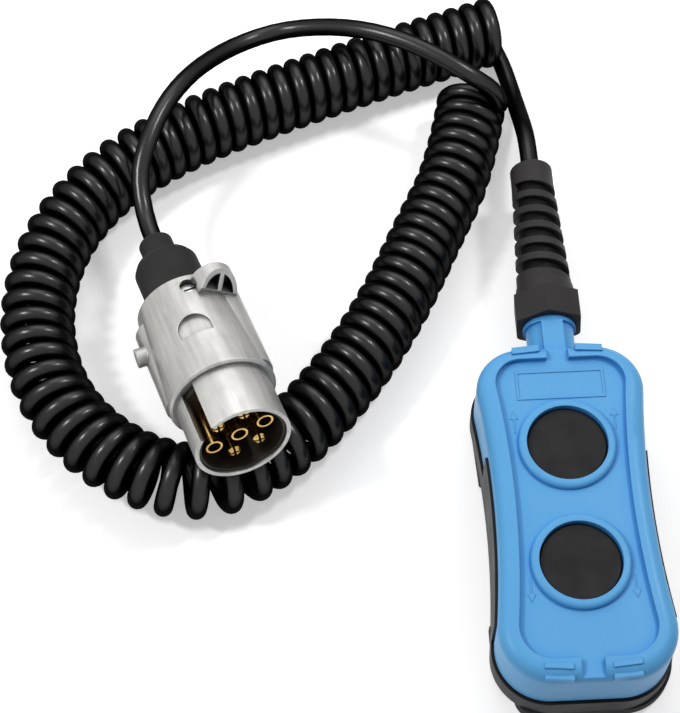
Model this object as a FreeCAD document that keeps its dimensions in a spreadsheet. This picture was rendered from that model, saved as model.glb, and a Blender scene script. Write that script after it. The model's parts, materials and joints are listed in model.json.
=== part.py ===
# Two-button tail lift handset on a curly cord with a seven-pole metal plug, in millimetres.
# Origin: on the floor under the middle of the handset's back, +Y towards its cable neck, +Z out of its buttons.
import FreeCAD, Part
import math
import os
import Sketcher
from FreeCAD import Placement, Rotation, Vector

doc = FreeCAD.newDocument("TailLiftHandset")
sheet = doc.addObject("Spreadsheet::Sheet", "Sizes")

SIZES = {
    # handset case, seen from the front
    "case_bottom": 64.6,
    "case_top": 62.3,
    "waist_half_width": 27.5,
    "waist_height": 1.0,
    "side_arc_radius": 337.0,
    "bottom_corner_radius": 18.5,
    "top_corner_radius": 16.7,
    "case_wall": 2.5,
    # handset levels above the floor
    "pad_thickness": 5.0,
    "cover_thickness": 9.0,
    "cover_floor": 3.0,
    "seal_thickness": 1.0,
    "rim_level": 38.0,
    "rim_rounding": 5.0,
    "panel_depth": 2.2,
    "panel_thickness": 2.3,
    "panel_side_inset": 7.0,
    "panel_low_inset": 7.3,
    "panel_high_inset": 5.6,
    "channel_width": 8.0,
    "seal_width": 1.8,
    # grip bars on the rim
    "bar_inner": 6.6,
    "bar_outer": 16.4,
    "bar_lean": 0.8,
    "bar_width": 2.0,
    "bar_depth": 3.2,
    "bar_rise": 0.4,
    "bar_drop": 1.2,
    "low_bar_setback": 4.4,
    "edge_bar_setback": 1.0,
    "high_bar_setback": 1.6,
    "high_bar_width": 2.6,
    # black cover and rubber back
    "cover_overhang": 1.0,
    "grip_level": 31.0,
    "grip_low": 42.0,
    "grip_high": 21.0,
    "pad_foot_overhang": 5.0,
    "pad_clipped_foot_overhang": 3.1,
    "pad_grip_overhang": 0.4,
    "pad_ear_root_overhang": 1.9,
    "pad_ear_overhang": 3.9,
    "pad_foot_end": 33.0,
    "pad_ear_start": 23.8,
    "pad_step": 1.0,
    "pad_clip_across": 6.8,
    "pad_clip_up": 16.5,
    "pad_clip_depth": 9.2,
    # buttons
    "collar_gap": 9.6,
    "cap_side": 13.3,
    "cap_level": 36.0,
    "cap_height": 6.3,
    "cap_flange": 2.2,
    "cap_dish": 0.4,
    "collar_wall": 3.4,
    "collar_rounding": 1.8,
    "running_gap": 0.3,
    "fitting_gap": 0.1,
    "button_travel": 3.0,
    "spring_pocket_radius": 6.8,
    "spring_pocket_depth": 2.4,
    "spring_radius": 5.4,
    "spring_wire": 1.0,
    "spring_turns": 4.0,
    "plunger_radius": 3.0,
    "plunger_head_radius": 4.4,
    "plunger_head_height": 2.0,
    # switches on their plate
    "plate_level": 17.0,
    "plate_thickness": 1.6,
    "plate_gap": 0.8,
    "switch_side": 20.0,
    "switch_height": 5.4,
    "terminal_radius": 2.0,
    "terminal_height": 1.2,
    "plate_screw_length": 6.0,
    "plate_screw_head": 1.2,
    # screws that close the case
    "post_radius": 3.6,
    "post_inset": 10.0,
    "post_low": 47.0,
    "post_high": 43.5,
    "screw_radius": 1.4,
    "screw_head_radius": 2.9,
    "screw_head_height": 1.8,
    "screw_length": 22.0,
    # cable neck and gland
    "neck_level": 24.0,
    "neck_radius": 8.9,
    "neck_bore": 5.6,
    "neck_length": 27.7,
    "thread_radius": 9.6,
    "bead_radius": 9.9,
    "bead_width": 1.6,
    "strip_rise": 1.0,
    "nut_start": 77.0,
    "nut_across_flats": 24.0,
    "nut_turn": 25.0,
    "nut_length": 11.5,
    "nut_shoulder": 5.2,
    "nut_wall": 2.4,
    "guard_start_radius": 10.5,
    "guard_end_radius": 8.25,
    "guard_length": 46.9,
    "guard_groove": 4.3,
    "guard_groove_depth": 2.6,
    "guard_pitch": 7.3,
    "guard_tip": 8.0,
    "guard_tip_rounding": 1.2,
    "gland_seal_length": 9.0,
    "claw_thickness": 1.2,
    # cord
    "cord_radius": 3.55,
    "coil_radius": 14.2,
    # plug, measured back from its mouth
    "plug_x": -114.4,
    "plug_y": 22.9,
    "plug_z": 48.2,
    "plug_azimuth": 19.2,
    "plug_tilt": 9.8,
    "barrel_radius": 17.75,
    "barrel_bore": 16.2,
    "barrel_length": 21.0,
    "shoulder_radius": 20.0,
    "shoulder_edge": 0.8,
    "tail_radius": 18.0,
    "shell_length": 66.3,
    "shell_wall": 3.0,
    "shell_seat": 37.0,
    "keyway_width": 6.7,
    "keyway_angle": 135.0,
    "ear_radius": 8.0,
    "ear_reach": 18.5,
    "ear_angle": 51.0,
    "ear_start": 56.0,
    "ear_length": 8.0,
    "ear_wall": 1.7,
    "ear_slant": 6.0,
    "ear_root": 0.8,
    "boss_radius": 9.0,
    "boss_offset": 11.8,
    "boss_angle_right": 18.0,
    "boss_angle_left": 182.0,
    "nub_radius": 3.6,
    "nub_reach": 23.6,
    "nub_angle": 176.0,
    "nub_back": 50.0,
    "catch_half_width": 6.2,
    "catch_back": 41.2,
    "catch_front": 38.2,
    "catch_floor": 17.2,
    "catch_angle": 95.0,
    "shell_screw_radius": 2.9,
    "shell_screw_sink": 2.0,
    "shell_screw_back": 61.0,
    "shell_screw_angle": 82.0,
    # contacts and their insert
    "insert_face": 19.0,
    "insert_length": 17.7,
    "liner_thickness": 1.0,
    "liner_setback": 1.0,
    "contact_circle": 10.0,
    "contact_turn": 13.0,
    "contact_setback": 4.0,
    "contact_tail": 3.6,
    "tube_radius": 3.1,
    "tube_bore": 2.35,
    "pin_radius": 2.5,
    "pin_shank_radius": 2.9,
    "pin_slot": 0.8,
    "pin_slot_depth": 7.0,
    # cable clamp and boot
    "clamp_back": 50.0,
    "clamp_length": 7.0,
    "clamp_screw_radius": 1.5,
    "clamp_screw_length": 20.0,
    "boot_radius": 12.4,
    "boot_flange_radius": 14.6,
    "boot_flange_length": 4.0,
    "boot_end": 90.4,
    "boot_rounding": 3.0,
    "boot_neck_radius": 5.9,
    "boot_neck_length": 2.4,
    "boot_ring_radius": 6.6,
    "boot_tip": 102.0,
    "boot_lead_in": 12.0,
}

for row, (alias, value) in enumerate(SIZES.items(), start=1):
    sheet.set(f"A{row}", alias.replace("_", " "))
    sheet.set(f"B{row}", str(value))
    sheet.setAlias(f"B{row}", alias)
doc.recompute()


class Dim(float):
    """A number from the sheet, or worked out from it, with the expression that gives it."""

    def __new__(cls, value, text):
        dim = super().__new__(cls, value)
        dim.text = text
        return dim

    def __add__(self, other):
        return Dim(float(self) + float(other), f"({self.text} + {text_of(other)})")

    def __radd__(self, other):
        return Dim(float(other) + float(self), f"({text_of(other)} + {self.text})")

    def __sub__(self, other):
        return Dim(float(self) - float(other), f"({self.text} - {text_of(other)})")

    def __rsub__(self, other):
        return Dim(float(other) - float(self), f"({text_of(other)} - {self.text})")

    def __mul__(self, other):
        return Dim(float(self) * float(other), f"({self.text} * {text_of(other)})")

    def __rmul__(self, other):
        return Dim(float(self) * float(other), f"({text_of(other)} * {self.text})")

    def __truediv__(self, other):
        return Dim(float(self) / float(other), f"({self.text} / {text_of(other)})")

    def __neg__(self):
        return Dim(-float(self), f"(0 - {self.text})")


def text_of(number):
    return number.text if isinstance(number, Dim) else repr(float(number))


class Sizes:
    def __getattr__(self, alias):
        return Dim(float(sheet.get(alias)), f"Sizes.{alias}")


size = Sizes()


def bind(thing, path, number):
    """Tie one property or constraint to the sheet."""
    thing.setExpression(path, text_of(number))


def sketch_on(body, name, role="XY_Plane", offset=0.0, angle=0.0):
    """A sketch on one of the body's own planes, moved along the plane's normal."""
    plane = next(part for part in body.Origin.OriginFeatures if part.Role == role)
    sketch = body.newObject("Sketcher::SketchObject", name)
    sketch.AttachmentSupport = [(plane, "")]
    sketch.MapMode = "FlatFace"
    sketch.AttachmentOffset = Placement(Vector(0, 0, float(offset)), Rotation(Vector(0, 0, 1), float(angle)))
    if isinstance(offset, Dim):
        bind(sketch, "AttachmentOffset.Base.z", offset)
    return sketch


def sketch_facing(body, name, direction, distance):
    """A sketch whose normal points away from the body's Z axis: across is tangential, up is Z."""
    sketch = sketch_on(body, name, "XZ_Plane")
    turn = Rotation(Vector(0, 1, 0), float(direction) + 90)
    sketch.AttachmentOffset = Placement(turn.multVec(Vector(0, 0, float(distance))), turn)
    return sketch


def lock(sketch, edge, end, x, y):
    """Hold one end of an edge at a place given by two numbers."""
    for kind, number in (("DistanceX", x), ("DistanceY", y)):
        index = sketch.addConstraint(Sketcher.Constraint(kind, -1, 1, edge, end, float(number)))
        if isinstance(number, Dim):
            bind(sketch, f"Constraints[{index}]", number)


def polygon(sketch, points):
    edges = []
    for (x0, y0), (x1, y1) in zip(points, points[1:] + points[:1]):
        line = Part.LineSegment(Vector(float(x0), float(y0), 0), Vector(float(x1), float(y1), 0))
        edges.append(sketch.addGeometry(line, False))
    for edge, after in zip(edges, edges[1:] + edges[:1]):
        sketch.addConstraint(Sketcher.Constraint("Coincident", edge, 2, after, 1))
    for edge, (x, y) in zip(edges, points):
        lock(sketch, edge, 1, x, y)


def around(direction, distance):
    """Where a point lies that stands off an axis in a direction given in degrees."""
    angle = math.radians(direction)
    return distance * math.cos(angle), distance * math.sin(angle)


def rectangle(sketch, x0, y0, x1, y1):
    polygon(sketch, [(x0, y0), (x1, y0), (x1, y1), (x0, y1)])


def circle(sketch, x, y, radius):
    edge = sketch.addGeometry(Part.Circle(Vector(float(x), float(y), 0), Vector(0, 0, 1), float(radius)), False)
    lock(sketch, edge, 3, x, y)
    index = sketch.addConstraint(Sketcher.Constraint("Radius", edge, float(radius)))
    if isinstance(radius, Dim):
        bind(sketch, f"Constraints[{index}]", radius)


def body_named(name, place=None):
    body = doc.addObject("PartDesign::Body", name)
    body.Label = name
    if place is not None:
        body.Placement = place
    return body


def pad(body, name, sketch, length, reverse=False):
    feature = body.newObject("PartDesign::Pad", name)
    feature.Profile = sketch
    feature.Length = float(length)
    bind(feature, "Length", length)
    feature.Reversed = reverse
    doc.recompute()
    return feature


def pocket(body, name, sketch, length, reverse=False):
    feature = body.newObject("PartDesign::Pocket", name)
    feature.Profile = sketch
    feature.Length = float(length)
    bind(feature, "Length", length)
    feature.Reversed = reverse
    before = feature.BaseFeature.Shape.Volume
    doc.recompute()
    if before - feature.Shape.Volume < 1e-3:
        raise RuntimeError(f"{name} cuts nothing")
    return feature


def turned(name, profile, place=None):
    """A body turned about its own Z from a profile of radius and height."""
    body = body_named(name, place)
    sketch = sketch_on(body, f"{name}_profile", "XZ_Plane")
    polygon(sketch, profile)
    spin = body.newObject("PartDesign::Revolution", f"{name}_turned")
    spin.Profile = sketch
    spin.ReferenceAxis = (sketch, ["V_Axis"])
    spin.Angle = 360
    doc.recompute()
    return body


def tied(kind, name, **numbers):
    """A Part primitive whose sizes come from the sheet."""
    thing = doc.addObject(kind, name)
    for path, number in numbers.items():
        bind(thing, path, number)
    return thing


def raised(thing, height):
    thing.Placement = Placement(Vector(0, 0, float(height)), Rotation())
    bind(thing, "Placement.Base.z", height)
    return thing


def edges_at(shape, test):
    return [f"Edge{i}" for i, edge in enumerate(shape.Edges, start=1) if test(edge)]


def fillet(body, name, test, radius):
    feature = body.newObject("PartDesign::Fillet", name)
    base = feature.BaseFeature
    feature.Base = (base, edges_at(base.Shape, test))
    feature.Radius = float(radius)
    bind(feature, "Radius", radius)
    doc.recompute()
    return feature


def flat_at(level):
    """Edges that lie wholly at one height."""
    return lambda edge: all(abs(v.Z - float(level)) < 1e-4 for v in edge.Vertexes) and (
        abs(edge.BoundBox.ZMax - float(level)) < 1e-3 and abs(edge.BoundBox.ZMin - float(level)) < 1e-3
    )


def outline(sketch, inset, low_inset=None, high_inset=None):
    """The case's outline: two straight ends, four round corners and two long hollow flanks, all tangent."""
    low = (inset if low_inset is None else low_inset) - size.case_bottom
    high = size.case_top - (inset if high_inset is None else high_inset)
    corners = [size.bottom_corner_radius - inset, size.top_corner_radius - inset]
    levels = [low + corners[0], high - corners[1]]
    flank = size.side_arc_radius + inset
    flank_x = size.waist_half_width + size.side_arc_radius
    reach = []
    for radius, level in zip(corners, levels):
        rise = float(level) - float(size.waist_height)
        reach.append(float(flank_x) - math.sqrt((float(flank) + float(radius)) ** 2 - rise**2))

    def arc(x, y, radius, start, end):
        shape = Part.ArcOfCircle(
            Part.Circle(Vector(float(x), float(y), 0), Vector(0, 0, 1), float(radius)), start, end
        )
        return sketch.addGeometry(shape, False)

    def lean(side, k):
        run = side * float(flank_x) - side * reach[k]
        return math.atan2(float(size.waist_height) - float(levels[k]), run)

    right_low, right_high = lean(1, 0), lean(1, 1)
    left_low, left_high = lean(-1, 0) % (2 * math.pi), lean(-1, 1) % (2 * math.pi)
    quarter = math.pi / 2
    bottom = sketch.addGeometry(
        Part.LineSegment(Vector(-reach[0], float(low), 0), Vector(reach[0], float(low), 0)), False
    )
    corner_rl = arc(reach[0], levels[0], corners[0], -quarter, right_low)
    flank_r = arc(flank_x, size.waist_height, flank, math.pi + right_high, math.pi + right_low)
    corner_rh = arc(reach[1], levels[1], corners[1], right_high, quarter)
    top = sketch.addGeometry(
        Part.LineSegment(Vector(reach[1], float(high), 0), Vector(-reach[1], float(high), 0)), False
    )
    corner_lh = arc(-reach[1], levels[1], corners[1], quarter, left_high)
    flank_l = arc(-flank_x, size.waist_height, flank, left_low - math.pi, left_high - math.pi)
    corner_ll = arc(-reach[0], levels[0], corners[0], left_low, 3 * quarter)
    joints = [
        (bottom, 2, corner_rl, 1),
        (corner_rl, 2, flank_r, 2),
        (flank_r, 1, corner_rh, 1),
        (corner_rh, 2, top, 1),
        (top, 2, corner_lh, 1),
        (corner_lh, 2, flank_l, 2),
        (flank_l, 1, corner_ll, 1),
        (corner_ll, 2, bottom, 1),
    ]
    for one, one_end, other, other_end in joints:
        sketch.addConstraint(Sketcher.Constraint("Tangent", one, one_end, other, other_end))
    for edge, radius in (
        (corner_rl, corners[0]),
        (corner_ll, corners[0]),
        (corner_rh, corners[1]),
        (corner_lh, corners[1]),
        (flank_r, flank),
        (flank_l, flank),
    ):
        index = sketch.addConstraint(Sketcher.Constraint("Radius", edge, float(radius)))
        bind(sketch, f"Constraints[{index}]", radius)
    for edge, end, level in ((bottom, 1, low), (top, 1, high)):
        index = sketch.addConstraint(Sketcher.Constraint("DistanceY", -1, 1, edge, end, float(level)))
        bind(sketch, f"Constraints[{index}]", level)
    for edge in (bottom, top):
        sketch.addConstraint(Sketcher.Constraint("Horizontal", edge))
    lock(sketch, flank_r, 3, flank_x, size.waist_height)
    lock(sketch, flank_l, 3, -flank_x, size.waist_height)


# levels that several pieces share
cover_low = size.pad_thickness
cover_high = cover_low + size.cover_thickness
shell_low = cover_high + size.seal_thickness
panel_level = size.rim_level - size.panel_depth
panel_under = panel_level - size.panel_thickness
cap_radius = size.waist_half_width - size.cap_side
cap_flange_radius = cap_radius + size.cap_flange
collar_radius = cap_radius + size.collar_wall
half_spacing = collar_radius + size.collar_gap / 2
post_side = size.waist_half_width - size.post_inset
neck_end = size.case_top + size.neck_length
post_places = [
    (side * post_side, end) for side in (-1, 1) for end in (-size.post_low, size.post_high)
]

# front shell: blue moulding with rim, panel, button collars and the cable neck
front_shell = body_named("front_shell")
sketch = sketch_on(front_shell, "shell_outline", offset=shell_low)
outline(sketch, 0.0)
pad(front_shell, "shell_block", sketch, size.rim_level - shell_low)
fillet(front_shell, "rim_roll", flat_at(size.rim_level), size.rim_rounding)

sketch = sketch_on(front_shell, "cavity_outline", offset=shell_low)
outline(sketch, size.case_wall)
pocket(front_shell, "cavity", sketch, panel_under - shell_low, reverse=True)

sketch = sketch_on(front_shell, "panel_outline", offset=size.rim_level)
outline(sketch, size.panel_side_inset, size.panel_low_inset, size.panel_high_inset)
pocket(front_shell, "panel_recess", sketch, size.panel_depth)

sketch = sketch_on(front_shell, "channel_outline", offset=size.rim_level)
half_channel = size.channel_width / 2
rectangle(sketch, -half_channel, -(size.case_bottom + 1), half_channel, size.case_top + 1)
pocket(front_shell, "rim_channels", sketch, size.panel_depth)

sketch = sketch_on(front_shell, "collar_circles", offset=panel_level)
for side in (-1, 1):
    circle(sketch, 0.0, side * half_spacing, collar_radius)
pad(front_shell, "collars", sketch, size.panel_depth)
fillet(
    front_shell,
    "collar_roll",
    lambda edge: flat_at(size.rim_level)(edge) and abs(edge.Length - 2 * math.pi * collar_radius) < 1e-3,
    size.collar_rounding,
)

sketch = sketch_on(front_shell, "button_holes", offset=size.rim_level)
for side in (-1, 1):
    circle(sketch, 0.0, side * half_spacing, cap_radius + size.running_gap)
pocket(front_shell, "button_openings", sketch, size.panel_depth + size.panel_thickness)

low_bar = size.low_bar_setback - size.case_bottom
edge_bar = size.edge_bar_setback - size.case_bottom
high_bar = size.case_top - size.high_bar_setback
for name, level, middle, width, lean in (
    ("low", size.rim_level + size.bar_rise, low_bar, size.bar_width, size.bar_lean),
    ("edge", size.rim_level - size.bar_drop, edge_bar, size.bar_width, size.bar_lean),
    ("high", size.rim_level + size.bar_rise, high_bar, size.high_bar_width, -size.bar_lean),
):
    sketch = sketch_on(front_shell, f"{name}_bar_outlines", offset=level - size.bar_depth)
    for side in (-1, 1):
        inner, outer = side * size.bar_inner, side * size.bar_outer
        polygon(
            sketch,
            [
                (inner, middle - width / 2),
                (outer, middle - width / 2 + lean),
                (outer, middle + width / 2 + lean),
                (inner, middle + width / 2),
            ],
        )
    pad(front_shell, f"{name}_bars", sketch, size.bar_depth)

sketch = sketch_on(front_shell, "neck_profile", offset=size.neck_level)
bead_end = size.nut_start - size.running_gap - size.fitting_gap
bead_start = bead_end - size.bead_width
polygon(
    sketch,
    [
        (size.neck_bore, size.case_top - size.case_wall),
        (size.neck_radius, size.case_top - size.case_wall),
        (size.neck_radius, bead_start),
        (size.bead_radius, bead_start),
        (size.bead_radius, bead_end),
        (size.thread_radius, bead_end),
        (size.thread_radius, neck_end),
        (size.neck_bore, neck_end),
    ],
)
spin = front_shell.newObject("PartDesign::Revolution", "neck")
spin.Profile = sketch
spin.ReferenceAxis = (sketch, ["V_Axis"])
spin.Angle = 360
doc.recompute()

strip_level = size.neck_level + size.neck_radius + size.strip_rise
sketch = sketch_on(front_shell, "strip_outline", offset=strip_level)
rectangle(sketch, -half_channel, size.case_top - size.case_wall, half_channel, bead_start)
pad(front_shell, "neck_strip", sketch, size.neck_radius / 2, reverse=True)

sketch = sketch_on(front_shell, "cable_way_outline", "XZ_Plane", offset=-(size.case_top + 1))
circle(sketch, 0.0, size.neck_level, size.neck_bore)
pocket(front_shell, "cable_way", sketch, size.case_wall * 2 + 2, reverse=True)

sketch = sketch_on(front_shell, "post_circles", offset=shell_low)
for x, y in post_places:
    circle(sketch, x, y, size.post_radius)
pad(front_shell, "screw_posts", sketch, panel_under - shell_low)
sketch = sketch_on(front_shell, "pilot_circles", offset=shell_low)
for x, y in post_places:
    circle(sketch, x, y, size.screw_radius)
pocket(front_shell, "pilot_holes", sketch, panel_under - shell_low, reverse=True)

# seal between the shells
case_seal = body_named("case_seal")
sketch = sketch_on(case_seal, "seal_outer", offset=cover_high)
outline(sketch, (size.case_wall - size.seal_width) / 2)
pad(case_seal, "seal_block", sketch, size.seal_thickness)
sketch = sketch_on(case_seal, "seal_inner", offset=cover_high)
outline(sketch, (size.case_wall + size.seal_width) / 2)
pocket(case_seal, "seal_opening", sketch, size.seal_thickness, reverse=True)

# rear cover: black tray with screw tubes, feet for the switch plate, and a finger grip up each flank
rear_cover = body_named("rear_cover")
sketch = sketch_on(rear_cover, "cover_outline", offset=cover_low)
outline(sketch, -size.cover_overhang)
pad(rear_cover, "cover_block", sketch, size.grip_level - cover_low)
sketch = sketch_on(rear_cover, "shell_space", offset=size.grip_level)
outline(sketch, 0.0)
pocket(rear_cover, "shell_space_cut", sketch, size.grip_level - cover_high)
sketch = sketch_on(rear_cover, "grip_ends", offset=size.grip_level)
clear_x = size.waist_half_width * 2
rectangle(sketch, -clear_x, size.grip_high, clear_x, size.case_top * 2)
rectangle(sketch, -clear_x, -size.case_bottom * 2, clear_x, -size.grip_low)
pocket(rear_cover, "grip_end_cuts", sketch, size.grip_level - cover_high)
sketch = sketch_on(rear_cover, "tray_outline", offset=cover_high)
outline(sketch, size.case_wall)
pocket(rear_cover, "tray", sketch, size.cover_thickness - size.cover_floor)
sketch = sketch_on(rear_cover, "tube_circles", offset=cover_low)
for x, y in post_places:
    circle(sketch, x, y, size.post_radius)
pad(rear_cover, "screw_tubes", sketch, size.cover_thickness + size.seal_thickness)
sketch = sketch_on(rear_cover, "screw_holes", offset=cover_low)
for x, y in post_places:
    circle(sketch, x, y, size.screw_radius + size.running_gap)
pocket(rear_cover, "screw_ways", sketch, size.cover_thickness + size.seal_thickness, reverse=True)
sketch = sketch_on(rear_cover, "foot_circles", offset=cover_low)
foot_places = [(side * post_side, end * half_spacing) for side in (-1, 1) for end in (-1, 1)]
for x, y in foot_places:
    circle(sketch, x, y, size.post_radius)
pad(rear_cover, "plate_feet", sketch, size.plate_level - cover_low)
sketch = sketch_on(rear_cover, "foot_pilots", offset=size.plate_level)
for x, y in foot_places:
    circle(sketch, x, y, size.screw_radius)
pocket(rear_cover, "foot_pilot_holes", sketch, size.plate_screw_length)

# rubber back: plate with ears above the finger grips, a broad foot and one clipped corner
back_pad = body_named("back_pad")
sketch = sketch_on(back_pad, "pad_outline")
foot_x = size.waist_half_width + size.pad_foot_overhang
clipped_x = size.waist_half_width + size.pad_clipped_foot_overhang
grip_x = size.waist_half_width + size.pad_grip_overhang
ear_root_x = size.waist_half_width + size.pad_ear_root_overhang
ear_x = size.waist_half_width + size.pad_ear_overhang
pad_low = -(size.case_bottom + size.cover_overhang)
pad_high = size.case_top + size.cover_overhang
polygon(
    sketch,
    [
        (foot_x, pad_low),
        (foot_x, -size.pad_foot_end),
        (grip_x, -size.pad_foot_end + size.pad_step),
        (grip_x, size.pad_ear_start - size.pad_step),
        (ear_root_x, size.pad_ear_start),
        (ear_x, pad_high),
        (-ear_x, pad_high),
        (-ear_root_x, size.pad_ear_start),
        (-grip_x, size.pad_ear_start - size.pad_step),
        (-grip_x, -size.pad_foot_end + size.pad_step),
        (-clipped_x, -size.pad_foot_end),
        (-clipped_x, pad_low + size.pad_clip_up),
        (-clipped_x + size.pad_clip_across, pad_low + size.pad_clip_up - size.pad_clip_depth),
        (-clipped_x + size.pad_clip_across, pad_low),
    ],
)
pad(back_pad, "pad_plate", sketch, size.pad_thickness)


def upright_at(x, y):
    """Upright edges of a body that stand at one place."""
    return lambda edge: edge.BoundBox.ZLength > 1 and abs(edge.BoundBox.Center.x - float(x)) < 0.01 and (
        abs(edge.BoundBox.Center.y - float(y)) < 0.01
    )


fillet(
    back_pad,
    "ear_corners",
    lambda edge: upright_at(ear_x, pad_high)(edge) or upright_at(-ear_x, pad_high)(edge),
    size.top_corner_radius,
)
fillet(back_pad, "foot_corner", upright_at(foot_x, pad_low), size.bottom_corner_radius)
fillet(
    back_pad,
    "clipped_corner",
    upright_at(-clipped_x + size.pad_clip_across, pad_low),
    size.pad_clip_across,
)
sketch = sketch_on(back_pad, "head_circles")
for x, y in post_places:
    circle(sketch, x, y, size.screw_head_radius + size.running_gap)
pocket(back_pad, "head_wells", sketch, size.pad_thickness, reverse=True)


def screw_shape(seat, head_height, length, up=1):
    """A screw's outline: its head below the seat and its shank above, or the other way up."""
    return [
        (0.0, seat - up * head_height),
        (size.screw_head_radius, seat - up * head_height),
        (size.screw_head_radius, seat),
        (size.screw_radius, seat),
        (size.screw_radius, seat + up * length),
        (0.0, seat + up * length),
    ]


def group(name, pieces):
    """Several like solids in one node."""
    joined = doc.addObject("Part::Compound", name)
    joined.Label = name
    joined.Links = pieces
    return joined


def screw_group(name, places, shape):
    screws = []
    for index, (x, y) in enumerate(places, start=1):
        screw = turned(f"{name}_{index}", shape)
        screw.Placement = Placement(Vector(float(x), float(y), 0), Rotation())
        bind(screw, "Placement.Base.x", x)
        bind(screw, "Placement.Base.y", y)
        screws.append(screw)
    return group(name, screws)


# four screws close the case from the back
case_screws = screw_group(
    "case_screws", post_places, screw_shape(cover_low, size.screw_head_height, size.screw_length)
)

# switch plate and the two contact blocks on it
switch_plate = body_named("switch_plate")
sketch = sketch_on(switch_plate, "plate_outline", offset=size.plate_level)
half_plate = size.waist_half_width - size.case_wall - size.plate_gap
plate_end = half_spacing + size.switch_side / 2
rectangle(sketch, -half_plate, -plate_end, half_plate, plate_end)
pad(switch_plate, "plate_block", sketch, size.plate_thickness)
sketch = sketch_on(switch_plate, "plate_holes", offset=size.plate_level)
for x, y in foot_places:
    circle(sketch, x, y, size.screw_radius)
pocket(switch_plate, "plate_screw_holes", sketch, size.plate_thickness, reverse=True)

plate_top = size.plate_level + size.plate_thickness
plate_screws = screw_group(
    "plate_screws", foot_places, screw_shape(plate_top, size.plate_screw_head, size.plate_screw_length, up=-1)
)

switch_low = size.plate_level + size.plate_thickness
switch_high = switch_low + size.switch_height
cap_low = size.cap_level - size.cap_height
pocket_top = cap_low + size.spring_pocket_depth
parts = {}
for name, side in (("up", 1), ("down", -1)):
    centre = side * half_spacing
    place = Placement(Vector(0, float(centre), 0), Rotation())

    switch = body_named(f"{name}_switch", place)
    sketch = sketch_on(switch, f"{name}_switch_outline", offset=switch_low)
    half = size.switch_side / 2
    rectangle(sketch, -half, -half, half, half)
    pad(switch, f"{name}_switch_block", sketch, size.switch_height)
    sketch = sketch_on(switch, f"{name}_switch_bore", offset=switch_high)
    circle(sketch, 0.0, 0.0, size.plunger_radius + size.running_gap)
    pocket(switch, f"{name}_switch_well", sketch, size.switch_height)

    cap = turned(
        f"{name}_button_cap",
        [
            (0.0, pocket_top),
            (size.spring_pocket_radius, pocket_top),
            (size.spring_pocket_radius, cap_low),
            (cap_flange_radius, cap_low),
            (cap_flange_radius, panel_under - size.running_gap),
            (cap_radius, panel_under - size.running_gap),
            (cap_radius, size.cap_level - size.cap_dish),
            (cap_radius - size.cap_dish, size.cap_level),
            (0.0, size.cap_level - size.cap_dish),
        ],
        place,
    )

    plunger = turned(
        f"{name}_plunger",
        [
            (0.0, switch_low + size.button_travel + size.running_gap),
            (size.plunger_radius, switch_low + size.button_travel + size.running_gap),
            (size.plunger_radius, pocket_top - size.plunger_head_height),
            (size.plunger_head_radius, pocket_top - size.plunger_head_height),
            (size.plunger_head_radius, pocket_top),
            (0.0, pocket_top),
        ],
        place,
    )

    spring_height = pocket_top - switch_high - size.spring_wire
    coil = tied(
        "Part::Helix",
        f"{name}_spring_line",
        Radius=size.spring_radius,
        Height=spring_height,
        Pitch=spring_height / size.spring_turns,
    )
    wire = tied(
        "Part::Plane", f"{name}_spring_section", Length=size.spring_wire, Width=size.spring_wire
    )
    wire_x = size.spring_radius - size.spring_wire / 2
    wire.Placement = Placement(
        Vector(float(wire_x), 0, -float(size.spring_wire) / 2), Rotation(Vector(1, 0, 0), 90)
    )
    bind(wire, "Placement.Base.x", wire_x)
    bind(wire, "Placement.Base.z", -size.spring_wire / 2)
    doc.recompute()
    spring = doc.addObject("Part::Sweep", f"{name}_spring")
    spring.Sections = [wire]
    spring.Spine = (coil, [f"Edge{i}" for i in range(1, len(coil.Shape.Edges) + 1)])
    spring.Solid = True
    spring.Frenet = True
    spring.Label = f"{name}_spring"
    spring_low = switch_high + size.spring_wire / 2
    spring.Placement = Placement(Vector(0, float(centre), float(spring_low)), Rotation())
    bind(spring, "Placement.Base.y", centre)
    bind(spring, "Placement.Base.z", spring_low)
    parts[name] = (switch, cap, plunger, spring)

    for thing in (switch, cap, plunger):
        bind(thing, "Placement.Base.y", centre)

terminals = []
for name, side in (("up", 1), ("down", -1)):
    for row in (-1, 1):
        screw = doc.addObject("Part::Cylinder", f"{name}_terminal_{row + 2}")
        bind(screw, "Radius", size.terminal_radius)
        bind(screw, "Height", size.terminal_height)
        y = side * half_spacing + row * (size.switch_side / 2 - size.terminal_radius - size.running_gap)
        x = size.switch_side / 2 - size.terminal_radius - size.running_gap
        screw.Placement = Placement(Vector(float(x), float(y), float(switch_high)), Rotation())
        bind(screw, "Placement.Base.x", x)
        bind(screw, "Placement.Base.y", y)
        bind(screw, "Placement.Base.z", switch_high)
        terminals.append(screw)
terminal_screws = group("terminal_screws", terminals)

# gland: rubber seal, claw ring, and the nut whose tail is the spiral bend guard
gland_place = Placement(Vector(0, float(size.nut_start), float(size.neck_level)), Rotation(Vector(1, 0, 0), -90))
neck_stop = neck_end - size.nut_start
cord_way = size.cord_radius + size.fitting_gap * 2
claw_low = neck_stop + size.fitting_gap
claw_high = claw_low + size.claw_thickness
gland_seal = turned(
    "gland_seal",
    [
        (cord_way, neck_stop - size.gland_seal_length),
        (size.neck_bore - size.fitting_gap, neck_stop - size.gland_seal_length),
        (size.neck_bore - size.fitting_gap, neck_stop),
        (cord_way, neck_stop),
    ],
    gland_place,
)
gland_claws = turned(
    "gland_claws",
    [
        (cord_way, claw_low),
        (size.thread_radius, claw_low),
        (size.neck_bore, claw_high),
        (cord_way, claw_high),
    ],
    gland_place,
)

nut_cavity = size.thread_radius + size.running_gap
guard_low = size.nut_length + size.nut_shoulder
guard_high = guard_low + size.guard_length
tip_high = guard_high + size.guard_tip


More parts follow.
